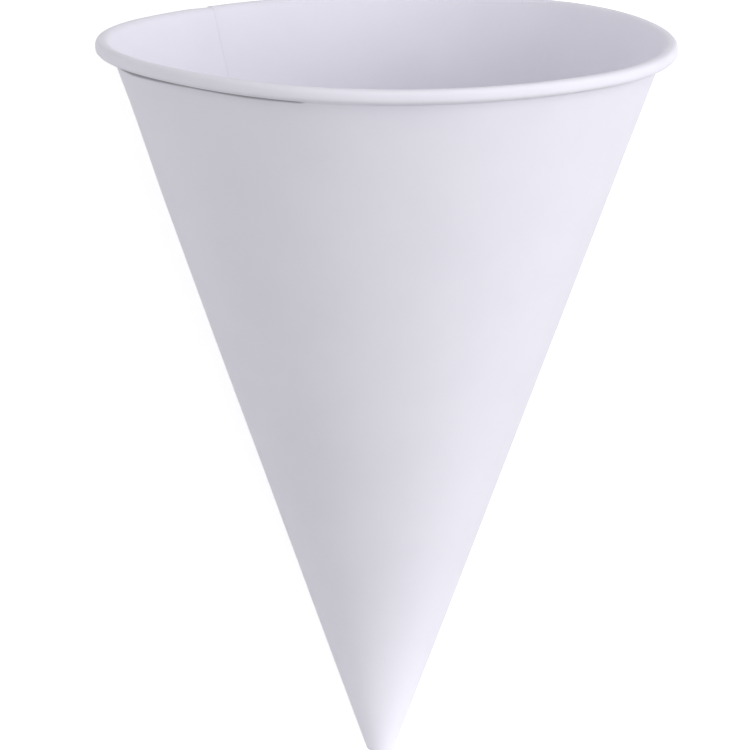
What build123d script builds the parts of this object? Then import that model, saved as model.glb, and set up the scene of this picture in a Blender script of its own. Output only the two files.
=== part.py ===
from build123d import *
import math
import os

# Driving sizes of the cup, in millimetres and degrees.
rim_diameter = 73.0        # over the rolled rim
overall_height = 92.4      # flat end to the top of the rolled rim
paper = 0.22               # one ply
curl_diameter = 2.05       # the roll, across its section
tip_diameter = 3.3         # where the wall's line would meet the flat end
tip_corner = 0.6           # rounding round the flat end
tip_solid = 2.6            # closed paper under the hollow
hollow_radius = 0.8        # rounded bottom of the hollow
wound_height = 7.0         # below this the seam's layers are pressed into one
fill_height = 6.0          # the wound layers thicken the wall below this
lap_angle = 45.0           # side seam, where two plies lie on each other
joggle_angle = 5.0         # where the outer ply climbs over the inner ply's edge
notch_angle = 123.0        # from the inner ply's edge to the step in the roll's free edge
wide_gap = 0.32            # slit behind the roll's free edge, before the step
tight_gap = 0.12           # the same slit, past the step
seam_toe = 0.07            # how far the outer ply stands out at its foot
seam_rise = 6.0            # height over which it comes up to a full ply
shown_flats = 15           # the roll's turn is cut into this many flats where it shows
hidden_flats = 11          # and into this many inside the roll

# The wall's line runs up from the flat end and is tangent to the roll's inner side.
curl_radius = curl_diameter / 2
tip_radius = tip_diameter / 2
curl_r = rim_diameter / 2 - curl_radius
curl_z = overall_height - curl_radius
reach = math.hypot(curl_r - tip_radius, curl_z)
chord_angle = math.atan2(curl_r - tip_radius, curl_z)
half_angle = chord_angle - math.asin((curl_radius - paper) / reach)
seam_full_height = wound_height + seam_rise


# Offsets count outwards from the wall's inner face: 0, one ply, two plies.
def wall_radius(offset, height):
    inner_face = tip_radius + height * math.tan(half_angle) - paper / math.cos(half_angle)
    return inner_face + offset / math.cos(half_angle)


def wall_point(offset, height):
    return Vector(wall_radius(offset, height), 0, height)


# The sweep is how far the roll has turned, in degrees, since it left the wall.
def curl_point(offset, sweep):
    turn = half_angle + math.radians(sweep)
    radius = curl_radius - offset
    return Vector(curl_r - radius * math.cos(turn), 0, curl_z + radius * math.sin(turn))


def joined(points):
    return [Line(start, end) for start, end in zip(points, points[1:])]


def curl_line(offset, sweep, flats):
    return joined([curl_point(offset, sweep * step / flats) for step in range(flats + 1)])


# Section of wall and roll between two offsets. Both sides are given from the roll down.
def ply_section(inner, outer, gap, inner_side, outer_side):
    sweep = 360 - math.degrees(math.acos((curl_radius - outer - gap) / curl_radius))
    outline = joined([inner_side[-1]] + outer_side[::-1] + [curl_point(outer, 0)])
    outline.extend(curl_line(outer, sweep, hidden_flats))
    outline.append(Line(curl_point(outer, sweep), curl_point(inner, sweep)))
    outline.extend(curl_line(inner, sweep, shown_flats))
    outline.extend(joined([curl_point(inner, 0)] + inner_side))
    return Face(Wire(outline))


def plain_section(gap):
    return ply_section(0, paper, gap, [wall_point(0, 0)], [wall_point(paper, 0)])


# The side seam: the wall's own ply with the outer ply on it, down to the wound end.
def seam_section():
    outer_side = [
        wall_point(2 * paper, seam_full_height),
        wall_point(paper + seam_toe, wound_height),
        wall_point(paper, wound_height),
        wall_point(paper, 0),
    ]
    return ply_section(0, 2 * paper, wide_gap, [wall_point(0, 0)], outer_side)


# The joggle: the ply leaves the inner face and climbs to lie one ply further out.
def joggle():
    low_inner = [wall_point(0, seam_full_height), wall_point(0, wound_height)]
    low_outer = [wall_point(paper, seam_full_height), wall_point(paper, wound_height)]
    high_inner = [wall_point(paper, seam_full_height), wall_point(seam_toe, wound_height)]
    high_outer = [
        wall_point(2 * paper, seam_full_height),
        wall_point(paper + seam_toe, wound_height),
    ]
    low = ply_section(0, paper, wide_gap, low_inner, low_outer)
    high = ply_section(paper, 2 * paper, wide_gap, high_inner, high_outer)
    return loft([low.rotate(Axis.Z, joggle_angle), high], ruled=True)


def wall_under_joggle():
    corners = [
        wall_point(0, 0),
        wall_point(paper, 0),
        wall_point(paper, wound_height),
        wall_point(0, wound_height),
        wall_point(0, 0),
    ]
    return Face(Wire(joined(corners)))


# The wound layers that close the end. Their side lies inside the wall's thickness.
def filling():
    top = wall_point(paper / 2, fill_height)
    low = Vector(0, 0, tip_solid)
    centre = Vector(0, 0, tip_solid + hollow_radius)
    span = math.hypot(top.X, top.Z - centre.Z)
    slope = math.atan2(top.Z - centre.Z, top.X) - math.acos(hollow_radius / span)
    half_slope = slope / 2 - math.radians(45)
    end = centre + Vector(math.cos(slope), 0, math.sin(slope)) * hollow_radius
    middle = centre + Vector(math.cos(half_slope), 0, math.sin(half_slope)) * hollow_radius
    outline = joined([low, Vector(0, 0, 0), wall_point(paper / 2, 0), top, end])
    outline.append(ThreePointArc(end, middle, low))
    return revolve(Face(Wire(outline)), Axis.Z, 360)


def turned(section, start, end):
    return Rot(0, 0, start) * revolve(section, Axis.Z, end - start)


def end_edges(cup):
    bottom = cup.edges().filter_by_position(Axis.Z, -0.001, 0.001)
    outer = wall_radius(paper, 0)
    return [edge for edge in bottom if abs((edge @ 0.5).length - outer) < 0.001]


# The cup on its own axis, point down, with the inner ply's edge at angle zero.
def cup_upright():
    cup = turned(plain_section(wide_gap), joggle_angle, notch_angle)
    cup += turned(plain_section(tight_gap), notch_angle, 360 - lap_angle)
    cup += turned(seam_section(), -lap_angle, 0)
    cup += turned(wall_under_joggle(), 0, joggle_angle)
    cup += joggle()
    cup += filling()
    return fillet(end_edges(cup), tip_corner)


# The axis rises by this much when the roll and the end, or the seam, touch the table.
def lay_angle():
    corner_inset = tip_corner * (1 / math.cos(half_angle) - math.tan(half_angle))
    corner = (tip_radius - corner_inset, tip_corner, tip_corner)
    seam = (wall_radius(2 * paper, seam_full_height), seam_full_height, 0)
    angles = []
    for radius, height, rounding in (corner, seam):
        across = curl_r - radius
        along = curl_z - height
        lift = math.asin((curl_radius - rounding) / math.hypot(across, along))
        angles.append(math.degrees(math.atan2(across, along) + lift))
    return min(angles)


# The cup lies on its side, mouth towards +X, with its heavier seam side down.
def cup_at_rest():
    upright = cup_upright()
    weight = upright.center(CenterOf.MASS)
    heavy_side = math.degrees(math.atan2(weight.Y, weight.X))
    lying = Rot(0, 90 - lay_angle(), 0) * Rot(0, 0, -heavy_side) * upright
    box = lying.bounding_box()
    return Pos(-box.center().X, -box.center().Y, -box.min.Z) * lying


os.makedirs("parts", exist_ok=True)
export_step(cup_at_rest(), "parts/paper_cup.step")
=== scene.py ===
import math

import bpy
from mathutils import Matrix, Vector


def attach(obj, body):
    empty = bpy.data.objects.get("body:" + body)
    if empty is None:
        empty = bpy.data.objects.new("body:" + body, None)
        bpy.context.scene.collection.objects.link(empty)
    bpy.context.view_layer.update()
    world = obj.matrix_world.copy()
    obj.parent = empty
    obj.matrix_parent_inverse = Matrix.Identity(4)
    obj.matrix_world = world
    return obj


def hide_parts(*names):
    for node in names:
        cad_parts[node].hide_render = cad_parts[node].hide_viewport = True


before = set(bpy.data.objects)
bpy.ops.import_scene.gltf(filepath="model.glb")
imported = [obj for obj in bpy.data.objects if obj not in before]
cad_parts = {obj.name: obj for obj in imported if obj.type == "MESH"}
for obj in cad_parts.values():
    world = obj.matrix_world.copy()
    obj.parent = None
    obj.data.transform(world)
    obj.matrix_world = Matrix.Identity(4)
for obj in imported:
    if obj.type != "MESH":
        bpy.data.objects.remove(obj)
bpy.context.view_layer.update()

mm = 0.001

# Where the cup lies. It is built on its own axis, upright with its point down, then turned
# and set down on its side. Sides are angles round the axis from the inner ply's edge.
lying = {
    "layAngle": 20.9208,                     # its axis rises by this much from the table
    "heavySide": -23.2999,                   # this side comes to lie underneath
    "pictureSide": -130.0,                   # and this one is at the right in the picture
    "setDown": (-49.28251, 0.0, 1.53338),    # its point goes here, in millimetres
}
turnDown = Matrix.Rotation(math.radians(90 - lying["layAngle"]), 4, "Y")
turnHeavy = Matrix.Rotation(math.radians(-lying["heavySide"]), 4, "Z")
uprightToRow = Matrix.Translation(Vector(lying["setDown"]) * mm) @ turnDown @ turnHeavy
pictureToRow = uprightToRow @ Matrix.Rotation(math.radians(lying["pictureSide"]), 4, "Z")


def deselectAll():
    if bpy.context.object and bpy.context.object.mode != "OBJECT":
        bpy.ops.object.mode_set(mode="OBJECT")
    bpy.ops.object.select_all(action="DESELECT")


def pickOnly(*pieces):
    # the last one becomes the active one
    deselectAll()
    for piece in pieces:
        piece.select_set(True)
    bpy.context.view_layer.objects.active = pieces[-1]


def editOnly(piece):
    pickOnly(piece)
    bpy.ops.object.mode_set(mode="EDIT")


def selectByPlace(piece, kind, test):
    # kind is VERT, EDGE or FACE; an edge has to pass at its middle and at both ends
    bpy.ops.mesh.select_mode(type=kind)
    bpy.ops.mesh.select_all(action="DESELECT")
    bpy.ops.object.mode_set(mode="OBJECT")
    mesh = piece.data
    if kind == "VERT":
        for v in mesh.vertices:
            v.select = test(v.co)
    elif kind == "EDGE":
        for e in mesh.edges:
            a, b = (mesh.vertices[i].co for i in e.vertices)
            e.select = test((a + b) / 2) and test(a) and test(b)
    else:
        for f in mesh.polygons:
            f.select = test(f.center)
    bpy.ops.object.mode_set(mode="EDIT")


def drawLine(name, points):
    # a plane is pulled together to one corner, which is then extruded along the line
    deselectAll()
    bpy.ops.mesh.primitive_plane_add(size=mm, location=(0, 0, 0))
    line = bpy.context.object
    line.name = name
    bpy.ops.object.mode_set(mode="EDIT")
    bpy.ops.mesh.select_all(action="SELECT")
    bpy.ops.mesh.merge(type="CENTER")
    bpy.ops.transform.translate(value=points[0])
    for here, there in zip(points, points[1:]):
        bpy.ops.mesh.extrude_region_move(TRANSFORM_OT_translate={"value": there - here})
    return line


def clamped(share):
    return min(max(share, 0), 1)


# The sheet of paper, wound to a cone with a rolled rim. Millimetres and degrees.
sheetSizes = {
    "rimRadius": 36.47, "height": 92.37, "paper": 0.22, "rollRadius": 0.95, "tipRadius": 1.65,
    "sheetFoot": 0.5,                        # the sheet ends here, just over the flat end
    "wallRows": 26, "wallTop": -2.5,         # even rows up to here, from the roll's centre,
    "slitRows": (-2.15, -2.0, -1.85, -1.7, -1.56, -1.43, -1.31, -1.2, -1.04),   # then closer
    "rollRows": 24, "flapRows": 5, "columnStep": 1.25,
    "lapAngle": 45.0,                        # two plies lie on each other over this much
    "climbStart": 5.0, "climbEnd": -3.75, "climbCuts": 6,   # the outer ply climbs up here
    "notchAngle": 123.0,                     # the step in the roll's free edge
    "roundTurn": 233.0,                      # the roll turns by this much
    "topCorner": 0.095, "lowCorner": 0.05,   # it is pressed flat outside, with tight corners
    "lowSquash": 0.9,                        # and its lower half is a little squat
    "longFlap": 1.47, "shortFlap": 1.25, "seamFlap": 1.0,   # then it runs straight to the wall
    "seamStart": 1.0, "seamFull": 13.0,      # between these heights the outer ply stands out
    "seamFoot": 0.03, "plyClearance": 0.004,   # from this much to a full ply and a clearance
    "waveSize": 26.0, "waveDepth": 0.16,     # the wall isn't perfectly straight
    "waveTop": 1.0, "waveFade": 12.0,        # but it is at the roll
    "edgeReach": 0.05, "angleReach": 0.01,   # a place this near counts as being there
    "plainSide": 200.0, "smoothAngle": 35.0,
}
s = sheetSizes
rollCentreR = s["rimRadius"] - s["rollRadius"]
rollCentreZ = s["height"] - s["rollRadius"]
reach = math.hypot(rollCentreR - s["tipRadius"], rollCentreZ)
chord = math.atan2(rollCentreR - s["tipRadius"], rollCentreZ)
halfAngle = chord - math.asin((s["rollRadius"] - s["paper"]) / reach)


def wallPoint(out, z):
    # on the wall's inner face, or so far out from it
    r = s["tipRadius"] + z * math.tan(halfAngle) + (out - s["paper"]) / math.cos(halfAngle)
    return Vector((r, 0, z)) * mm


def pressedFlat(turn):
    # the roll's radius swells between its top, its outer side and its free edge
    quarter, half, end = math.pi / 2, math.pi, halfAngle + math.radians(s["roundTurn"])
    if quarter < turn <= half:
        return 1 + s["topCorner"] * math.sin(math.pi * (turn - quarter) / (half - quarter)) ** 2
    if half < turn < end:
        return 1 + s["lowCorner"] * math.sin(math.pi * (turn - half) / (end - half)) ** 2
    return 1


def rollPoint(out, sweep, flap=0.0):
    # round the roll by the sweep in degrees, then straight on by the flap in millimetres
    turn = halfAngle + math.radians(sweep)
    r = (s["rollRadius"] - out) * pressedFlat(turn)
    rise = r * math.sin(turn) + flap * math.cos(turn)
    squash = s["lowSquash"] if turn > math.pi else 1
    return Vector((rollCentreR - r * math.cos(turn) + flap * math.sin(turn), 0,
                   rollCentreZ + rise * squash)) * mm


def plyLine(outAt, flaps):
    # from the foot up the wall and round the roll; outAt gives how far out it lies at a height
    foot = s["sheetFoot"]
    top = rollPoint(0, 0).z / mm
    below = rollCentreZ + s["wallTop"]
    heights = [foot + (below - foot) * row / s["wallRows"] for row in range(s["wallRows"] + 1)]
    heights += [rollCentreZ + up for up in s["slitRows"]]
    turns = [s["roundTurn"] * row / s["rollRows"] for row in range(s["rollRows"] + 1)]
    line = [wallPoint(outAt(z), z) for z in heights]
    line += [rollPoint(outAt(top), turn) for turn in turns]
    return line + [rollPoint(outAt(top), s["roundTurn"], flap) for flap in flaps]


def flapSteps(end):
    return [end * row / s["flapRows"] for row in range(1, s["flapRows"] + 1)]


def spinPly(line, start, end):
    # the drawn section is turned to its first angle and spun about the cup's own axis
    count = round(abs(end - start) / s["columnStep"])
    bpy.ops.object.mode_set(mode="OBJECT")
    line.rotation_euler = (0, 0, math.radians(start))
    bpy.ops.object.transform_apply(location=False, rotation=True, scale=False)
    bpy.ops.object.mode_set(mode="EDIT")
    bpy.ops.mesh.select_all(action="SELECT")
    # with no window the spin turns the other way
    bpy.ops.mesh.spin(steps=count, angle=math.radians(start - end), use_auto_merge=False,
                      center=(0, 0, 0), axis=(0, 0, 1))
    bpy.ops.object.mode_set(mode="OBJECT")
    print("ply", line.name, "in", count, "columns")


def angleOf(place):
    return math.degrees(math.atan2(place.y, place.x)) % 360


def outAtInner(z):
    # the inner ply stays on the inner face, and the outer one leaves it on the way up
    return 0.0


def outAtSeam(z):
    share = clamped((z - s["seamStart"]) / (s["seamFull"] - s["seamStart"]))
    full = s["paper"] + s["plyClearance"]
    return s["seamFoot"] + (full - s["seamFoot"]) * share * share * (3 - 2 * share)


sheet = drawLine("paperCup", plyLine(outAtInner, flapSteps(s["shortFlap"]) + [s["longFlap"]]))
spinPly(sheet, s["climbStart"], 360)
outerPly = drawLine("outerPly", plyLine(outAtSeam, flapSteps(s["seamFlap"])))
spinPly(outerPly, -s["lapAngle"], s["climbEnd"])


def isLongEdge(place):
    # the roll's free edge is shorter from the side seam to the step
    middle = rollPoint(0, s["roundTurn"], (s["shortFlap"] + s["longFlap"]) / 2)
    away = math.hypot(math.hypot(place.x, place.y) - middle.x, place.z - middle.z)
    isPastStep = s["notchAngle"] < angleOf(place) < 360 - s["lapAngle"]
    return away < s["edgeReach"] * mm and not isPastStep


def isClimbFoot(place):
    return abs(angleOf(place) - s["climbStart"]) < s["angleReach"]


def isClimbTop(place):
    return abs(angleOf(place) - 360 - s["climbEnd"]) < s["angleReach"]


editOnly(sheet)
selectByPlace(sheet, "FACE", isLongEdge)
bpy.ops.mesh.delete(type="FACE")
selectByPlace(sheet, "EDGE", isClimbFoot)
editOnly(outerPly)
selectByPlace(outerPly, "EDGE", isClimbTop)

# the two are joined, and the climb over the inner ply's edge bridges them
pickOnly(outerPly, sheet)
bpy.ops.object.join()
bpy.ops.object.mode_set(mode="EDIT")
bpy.ops.mesh.select_mode(type="EDGE")
bpy.ops.mesh.bridge_edge_loops(number_cuts=s["climbCuts"], interpolation="LINEAR")
bpy.ops.mesh.select_all(action="SELECT")
bpy.ops.mesh.normals_make_consistent(inside=False)
bpy.ops.object.mode_set(mode="OBJECT")


def fromPlainWall(face):
    return (abs(face.center.z - s["height"] / 2 * mm)
            + abs(angleOf(face.center) - s["plainSide"]))


# one face half-way up the wall tells whether the open sheet's faces point outwards
plainFace = min(sheet.data.polygons, key=fromPlainWall)
if plainFace.normal.dot(Vector((plainFace.center.x, plainFace.center.y, 0))) < 0:
    editOnly(sheet)
    bpy.ops.mesh.select_all(action="SELECT")
    bpy.ops.mesh.flip_normals()
    bpy.ops.object.mode_set(mode="OBJECT")
print("sheet", len(sheet.data.polygons), "faces")

# soft unevenness of real paper, then the paper's thickness
wall = sheet.vertex_groups.new(name="wall")
for v in sheet.data.vertices:
    weight = clamped((rollCentreZ - s["waveTop"] - v.co.z / mm) / s["waveFade"])
    if weight > 0:
        wall.add([v.index], weight, "REPLACE")
waves = sheet.modifiers.new("paperWaves", "DISPLACE")
waves.texture = bpy.data.textures.new("paperWaves", "CLOUDS")
waves.texture.noise_scale = s["waveSize"] * mm
waves.texture.noise_depth = 1
waves.texture_coords = "LOCAL"
waves.mid_level = 0.5
waves.strength = s["waveDepth"] * mm
waves.vertex_group = "wall"
thickness = sheet.modifiers.new("thickness", "SOLIDIFY")
thickness.thickness = s["paper"] * mm
thickness.offset = 1
thickness.use_even_offset = True
pickOnly(sheet)
for modifier in list(sheet.modifiers):
    bpy.ops.object.modifier_apply(modifier=modifier.name)
print("paper", s["paper"], "mm thick,", len(sheet.data.polygons), "faces")

# Painted shade in the slit behind the roll's free edge and on the wall just below it, darker than
# the lamps alone make it there. Places are counted from the roll's centre.
paintedSlitShade = {
    "openShade": 1.0, "tightShade": 0.07,    # where the edge stands open, and past the step
    "skin": 0.03, "wallTop": -0.6,           # on the wall's outer face, this near and below this,
    "level": -1.27, "fade": 0.22,            # the painted shade is dark down to here and then fades out,
    "wider": 0.5, "widerFrom": 104.0, "widerOver": 30.0,    # lower down away from the step,
    "waver": 0.05, "waverTurns": (9, 4),     # and not quite evenly
    "edgeTop": -0.5, "edgeSide": 0.5,        # on the roll, below this and inside this,
    "edgeDark": 0.05, "edgeFade": 0.5,       # the painted shade is dark near the free edge and then fades out
}


def paintedShadeDepth(place):
    # how much painted slit shade a corner of the mesh gets, 0 to 1
    angle = angleOf(place)
    right = math.hypot(place.x, place.y) / mm - rollCentreR
    up = place.z / mm - rollCentreZ
    isOpen = not s["notchAngle"] < angle < 360 - s["lapAngle"]
    edge = rollPoint(0, s["roundTurn"], s["shortFlap"] if isOpen else s["longFlap"])
    toEdge = math.hypot(right - edge.x / mm + rollCentreR, up - edge.z / mm + rollCentreZ)
    toWall = right * math.cos(halfAngle) - up * math.sin(halfAngle) + s["rollRadius"] - s["paper"]
    wider = clamped((paintedSlitShade["widerFrom"] - angle) / paintedSlitShade["widerOver"]) ** 2 * paintedSlitShade["wider"]
    waver = paintedSlitShade["waver"]
    for turns in paintedSlitShade["waverTurns"]:
        waver *= math.sin(math.radians(angle * turns))
    below = paintedSlitShade["level"] - wider + waver - up
    share = 0
    if abs(toWall) < paintedSlitShade["skin"] and up < paintedSlitShade["wallTop"]:
        share = 1 - below / paintedSlitShade["fade"]
    elif toWall > 0 and up < paintedSlitShade["edgeTop"] and right < paintedSlitShade["edgeSide"]:
        share = 1 - (toEdge - paintedSlitShade["edgeDark"]) / paintedSlitShade["edgeFade"]
    return clamped(share) * paintedSlitShade["openShade" if isOpen else "tightShade"]


# the painted slit shade is kept on the mesh as an attribute for the paper material
shade = sheet.data.attributes.new("paintedSlitShade", "FLOAT", "POINT")
shade.data.foreach_set("value", [paintedShadeDepth(v.co) for v in sheet.data.vertices])
print("paintedSlitShade", sum(d.value > 0 for d in shade.data), "corners")

# What handling has done to the cup. Each pull at the rim has an angle and a lift.
handling = {
    "rimGrip": 0.5, "rimSpread": 27.0,       # the rim is a little out of flat
    "rimPulls": ((10.0, -0.38), (82.0, 0.36), (140.0, -0.20), (240.0, 0.25), (275.0, 0.70)),
    "pressAngle": 55.0, "pressBelow": 5.0,   # the wall is pressed in here, under the roll
    "pressDepth": 0.22, "pressGrip": 1.8, "pressSpread": 15.0,
}


def pullSoftly(target, grip, move, spread):
    # the corners within the grip are moved, and those within the spread follow
    selectByPlace(sheet, "VERT", lambda place: (place - target).length < grip * mm)
    bpy.ops.transform.translate(value=move, use_proportional_edit=True,
                                proportional_edit_falloff="SMOOTH",
                                proportional_size=spread * mm)


editOnly(sheet)
rimTop = rollPoint(0, 90 - math.degrees(halfAngle))
for angle, lift in handling["rimPulls"]:
    around = Matrix.Rotation(math.radians(angle), 3, "Z")
    pullSoftly(around @ rimTop, handling["rimGrip"], (0, 0, lift * mm), handling["rimSpread"])
around = Matrix.Rotation(math.radians(handling["pressAngle"]), 3, "Z")
pressedAt = around @ wallPoint(s["paper"], rollCentreZ - handling["pressBelow"])
inwards = around @ Vector((-handling["pressDepth"] * mm, 0, 0))
pullSoftly(pressedAt, handling["pressGrip"], inwards, handling["pressSpread"])
bpy.ops.object.mode_set(mode="OBJECT")
print("rim pulled at", len(handling["rimPulls"]), "places")

# The wound layers that close the point. Millimetres.
endSizes = {
    "base": 0.01,                            # its flat end stands just off the source's own
    "corner": 0.6, "cornerSteps": 8,         # rounding round the flat end
    "solid": 2.6, "top": 6.0,                # closed up to the first, thickened up to the second
    "hollow": 0.8, "hollowSteps": 6,         # rounded bottom of the hollow
    "turnSteps": 96, "mergeReach": 0.002,
}
e = endSizes


def arcPoints(centreR, centreZ, radius, start, end, steps):
    turns = [start + (end - start) * step / steps for step in range(steps + 1)]
    return [Vector((centreR + radius * math.cos(turn), 0, centreZ + radius * math.sin(turn))) * mm
            for turn in turns]


def endLine():
    # from the middle of the flat end out and up, then down inside to the middle again
    down = math.radians(-90)
    cornerR = wallPoint(s["paper"], e["corner"]).x / mm - e["corner"] / math.cos(halfAngle)
    points = [Vector((0, 0, e["base"])) * mm, Vector((cornerR / 2, 0, e["base"])) * mm]
    points += arcPoints(cornerR, e["base"] + e["corner"], e["corner"], down, -halfAngle,
                        e["cornerSteps"])
    points += [wallPoint(s["paper"], s["sheetFoot"]), wallPoint(s["paper"] / 2, s["sheetFoot"])]
    top = wallPoint(s["paper"] / 2, e["top"])
    points.append(top)
    centreZ = e["solid"] + e["hollow"]
    span = math.hypot(top.x / mm, top.z / mm - centreZ)
    slope = math.atan2(top.z / mm - centreZ, top.x / mm) - math.acos(e["hollow"] / span)
    points += arcPoints(0, centreZ, e["hollow"], slope, down, e["hollowSteps"])
    points[-1].x = 0
    return points


woundEnd = drawLine("woundEnd", endLine())
bpy.ops.mesh.select_all(action="SELECT")
bpy.ops.mesh.spin(steps=e["turnSteps"], angle=math.radians(360), use_auto_merge=True,
                  center=(0, 0, 0), axis=(0, 0, 1))
bpy.ops.mesh.select_all(action="SELECT")
bpy.ops.mesh.remove_doubles(threshold=e["mergeReach"] * mm)
bpy.ops.mesh.normals_make_consistent(inside=False)
pickOnly(woundEnd, sheet)
bpy.ops.object.join()

# the finished cup is laid down, with its place in its mesh
paperCup = sheet
paperCup.data.name = "paperCup"
paperCup.matrix_world = uprightToRow
pickOnly(paperCup)
bpy.ops.object.transform_apply(location=True, rotation=True, scale=True)
bpy.ops.object.shade_smooth_by_angle(angle=math.radians(s["smoothAngle"]))
print("cup", len(paperCup.data.polygons), "faces")

# Matt paper, white with a breath of lavender. Depths in millimetres.
paperLooks = {
    "colour": (0.86, 0.845, 0.928), "shade": (0.84, 0.825, 0.909),
    # a dark colour painted in as shade in the slit under the roll
    "paintedShadeColour": (0.36, 0.35, 0.40),
    "rough": (0.80, 0.92), "specular": 0.3,
    "mottleScale": 90.0, "mottleDetail": 4.0, "mottleSpan": (0.3, 0.62),
    "fibreScale": 1500.0, "fibreDetail": 3.0, "fibreBend": 1.2, "fibreDepth": 0.02,
    "toothScale": 4200.0, "toothDetail": 2.0, "toothDepth": 0.015,
    "bumpStrength": 0.35,
}


def addNode(tree, kind, place, **inputs):
    node = tree.nodes.new(kind)
    node.location = place
    for name, value in inputs.items():
        node.inputs[name].default_value = value
    return node


def makePaper(looks):
    paper = bpy.data.materials.new("paper")
    paper.use_nodes = True
    tree = paper.node_tree
    shader = tree.nodes["Principled BSDF"]
    shader.inputs["Specular IOR Level"].default_value = looks["specular"]
    where = addNode(tree, "ShaderNodeTexCoord", (-1300, 0))
    mottle = addNode(tree, "ShaderNodeTexNoise", (-1000, 250), Scale=looks["mottleScale"],
                     Detail=looks["mottleDetail"])
    fibres = addNode(tree, "ShaderNodeTexNoise", (-1000, -50), Scale=looks["fibreScale"],
                     Detail=looks["fibreDetail"], Distortion=looks["fibreBend"])
    tooth = addNode(tree, "ShaderNodeTexNoise", (-1000, -350), Scale=looks["toothScale"],
                    Detail=looks["toothDetail"])
    for texture in (mottle, fibres, tooth):
        tree.links.new(where.outputs["Object"], texture.inputs["Vector"])
    # colour: a faint mottle, and painted shade in the slit under the roll where the mesh says so
    tint = addNode(tree, "ShaderNodeValToRGB", (-700, 250))
    for stop, position, colour in zip(tint.color_ramp.elements, looks["mottleSpan"],
                                      (looks["shade"], looks["colour"])):
        stop.position = position
        stop.color = (*colour, 1)
    tree.links.new(mottle.outputs["Fac"], tint.inputs["Fac"])
    depth = addNode(tree, "ShaderNodeAttribute", (-700, 500))
    depth.attribute_name = "paintedSlitShade"
    # the paper colour is mixed towards the painted shade by the slit attribute
    paintedShadeMix = addNode(tree, "ShaderNodeMix", (-300, 250))
    paintedShadeMix.data_type = "RGBA"
    paintedShadeMix.inputs["B"].default_value = (*looks["paintedShadeColour"], 1)
    tree.links.new(depth.outputs["Fac"], paintedShadeMix.inputs["Factor"])
    tree.links.new(tint.outputs["Color"], paintedShadeMix.inputs["A"])
    tree.links.new(paintedShadeMix.outputs["Result"], shader.inputs["Base Color"])
    # surface: fibres change the sheen, and with the tooth they stand up a little
    rough = addNode(tree, "ShaderNodeMapRange", (-700, 0))
    rough.inputs["To Min"].default_value = looks["rough"][0]
    rough.inputs["To Max"].default_value = looks["rough"][1]
    tree.links.new(fibres.outputs["Fac"], rough.inputs["Value"])
    tree.links.new(rough.outputs["Result"], shader.inputs["Roughness"])
    low = addNode(tree, "ShaderNodeBump", (-500, -200), Strength=looks["bumpStrength"],
                  Distance=looks["fibreDepth"] * mm)
    fine = addNode(tree, "ShaderNodeBump", (-250, -300), Strength=looks["bumpStrength"],
                   Distance=looks["toothDepth"] * mm)
    tree.links.new(fibres.outputs["Fac"], low.inputs["Height"])
    tree.links.new(tooth.outputs["Fac"], fine.inputs["Height"])
    tree.links.new(low.outputs["Normal"], fine.inputs["Normal"])
    tree.links.new(fine.outputs["Normal"], shader.inputs["Normal"])
    return paper


paperCup.data.materials.clear()
paperCup.data.materials.append(makePaper(paperLooks))
print("paper on", paperCup.name)

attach(paperCup, "root")
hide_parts("paper_cup")

# Floor and light. The floor's size is in metres, its drop in millimetres.
studio = {
    "floorSize": 3.0, "floorDrop": 0.2, "floorColour": (0.8, 0.8, 0.8), "floorLift": 0.62,
    "world": 0.22, "backdrop": 1.0,
    # as seen in the picture: degrees round from its right, degrees up, away, width, height, watts
    "keyLamp": (-38, 12, 900, 600, 700, 4.85), "frontLamp": (-92, 5, 900, 900, 260, 1.8),
    "leftLamp": (-160, 24, 900, 400, 400, 1.5), "highLamp": (-20, 38, 900, 900, 450, 1.6),
    "topLamp": (-40, 76, 900, 700, 500, 0.5), "pointLamp": (-62, -25, 24, 20, 20, 0.0014),
    "cupAim": (0, 0, 55), "pointAim": (0, 0, 0),
}


def seenAsIs(tree, x):
    # 1 where it is seen straight, in a gloss or through glass, and 0 where it only lights
    seen = addNode(tree, "ShaderNodeLightPath", (x, 0))
    share = seen.outputs["Is Camera Ray"]
    for ray in ("Is Glossy Ray", "Is Transmission Ray"):
        x += 200
        either = addNode(tree, "ShaderNodeMath", (x, 0))
        either.operation = "MAXIMUM"
        tree.links.new(share, either.inputs[0])
        tree.links.new(seen.outputs[ray], either.inputs[1])
        share = either.outputs[0]
    return share


def makeFloor():
    deselectAll()
    bpy.ops.mesh.primitive_plane_add(size=studio["floorSize"],
                                     location=(0, 0, -studio["floorDrop"] * mm))
    floor = bpy.context.object
    floor.name = "floor"
    white = bpy.data.materials.new("floorWhite")
    white.use_nodes = True
    tree = white.node_tree
    tree.nodes.clear()
    # plain matt, lifted to white where it is seen, so that only a soft shadow is left
    matte = addNode(tree, "ShaderNodeBsdfDiffuse", (-250, 200),
                    Color=(*studio["floorColour"], 1))
    lift = addNode(tree, "ShaderNodeMath", (-450, 0))
    lift.operation = "MULTIPLY"
    lift.inputs[1].default_value = studio["floorLift"]
    glow = addNode(tree, "ShaderNodeEmission", (-250, 0))
    both = addNode(tree, "ShaderNodeAddShader", (-50, 100))
    out = addNode(tree, "ShaderNodeOutputMaterial", (150, 100))
    tree.links.new(seenAsIs(tree, -1050), lift.inputs[0])
    tree.links.new(lift.outputs[0], glow.inputs["Strength"])
    tree.links.new(matte.outputs[0], both.inputs[0])
    tree.links.new(glow.outputs[0], both.inputs[1])
    tree.links.new(both.outputs[0], out.inputs["Surface"])
    floor.data.materials.append(white)


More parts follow.
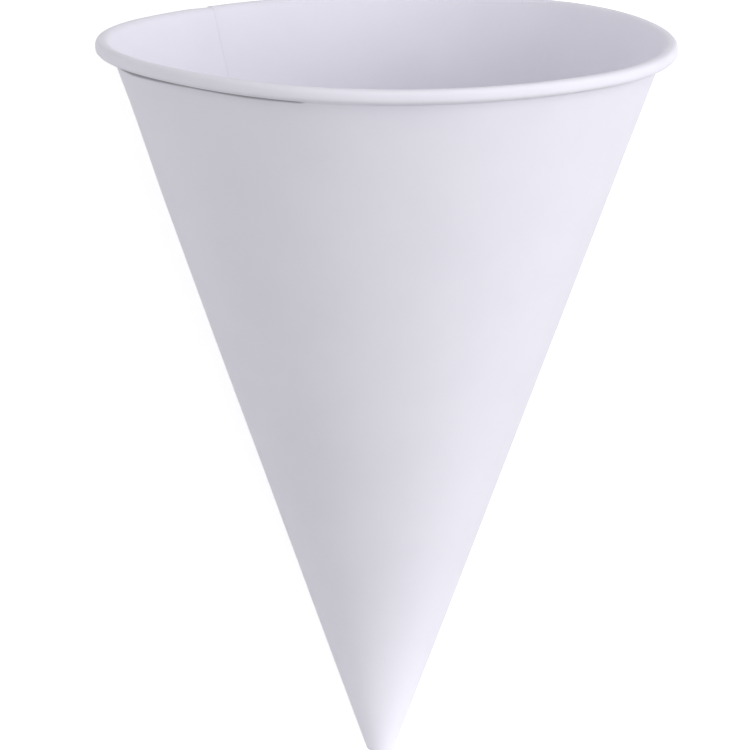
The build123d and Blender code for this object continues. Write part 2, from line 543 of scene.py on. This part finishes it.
def makeWorld():
    world = bpy.data.worlds.new("studio")
    bpy.context.scene.world = world
    world.use_nodes = True
    tree = world.node_tree
    tree.nodes.clear()
    soft = addNode(tree, "ShaderNodeBackground", (-200, 100), Color=(1, 1, 1, 1),
                   Strength=studio["world"])
    white = addNode(tree, "ShaderNodeBackground", (-200, -50), Color=(1, 1, 1, 1),
                    Strength=studio["backdrop"])
    mix = addNode(tree, "ShaderNodeMixShader", (0, 0))
    out = addNode(tree, "ShaderNodeOutputWorld", (200, 0))
    tree.links.new(seenAsIs(tree, -800), mix.inputs["Fac"])
    tree.links.new(soft.outputs[0], mix.inputs[1])
    tree.links.new(white.outputs[0], mix.inputs[2])
    tree.links.new(mix.outputs[0], out.inputs["Surface"])


def addLamp(name, aim):
    # set out as in the picture, round a point on the cup's axis
    around, up, away, width, height, power = studio[name]
    light = bpy.data.lights.new(name, "AREA")
    light.shape = "RECTANGLE"
    light.size = width * mm
    light.size_y = height * mm
    light.energy = power
    lamp = bpy.data.objects.new(name, light)
    bpy.context.scene.collection.objects.link(lamp)
    lamp.visible_camera = False
    turn, rise = math.radians(around), math.radians(up)
    towards = Vector((math.cos(rise) * math.cos(turn), math.cos(rise) * math.sin(turn),
                      math.sin(rise)))
    place = Matrix.Translation((Vector(aim) + towards * away) * mm)
    look = (-towards).to_track_quat("-Z", "Y").to_matrix().to_4x4()
    lamp.matrix_world = pictureToRow @ place @ look


makeFloor()
makeWorld()
for lampName in ("keyLamp", "frontLamp", "leftLamp", "highLamp", "topLamp"):
    addLamp(lampName, studio["cupAim"])
addLamp("pointLamp", studio["pointAim"])
print("floor, world and lamps")

# The camera, in the picture's own frame. Places in millimetres, near end in metres.
shot = {
    "place": (-1.07, -682.62, 204.39), "aim": (-1.073, 0, 49.358), "roll": 0.463,
    "lens": 265.36, "sensor": 36, "nearEnd": 0.05,
}
camera = bpy.data.cameras.new("camera")
camera.lens = shot["lens"]
camera.sensor_width = shot["sensor"]
camera.clip_start = shot["nearEnd"]
cameraObject = bpy.data.objects.new("camera", camera)
bpy.context.scene.collection.objects.link(cameraObject)
away = Vector(shot["aim"]) - Vector(shot["place"])
look = away.to_track_quat("-Z", "Y").to_matrix().to_4x4()
level = pictureToRow @ (Matrix.Translation(Vector(shot["place"]) * mm) @ look)
cameraObject.matrix_world = level @ Matrix.Rotation(math.radians(shot["roll"]), 4, "Z")
bpy.context.scene.camera = cameraObject
bpy.context.scene.view_settings.view_transform = "Standard"
print("camera set")
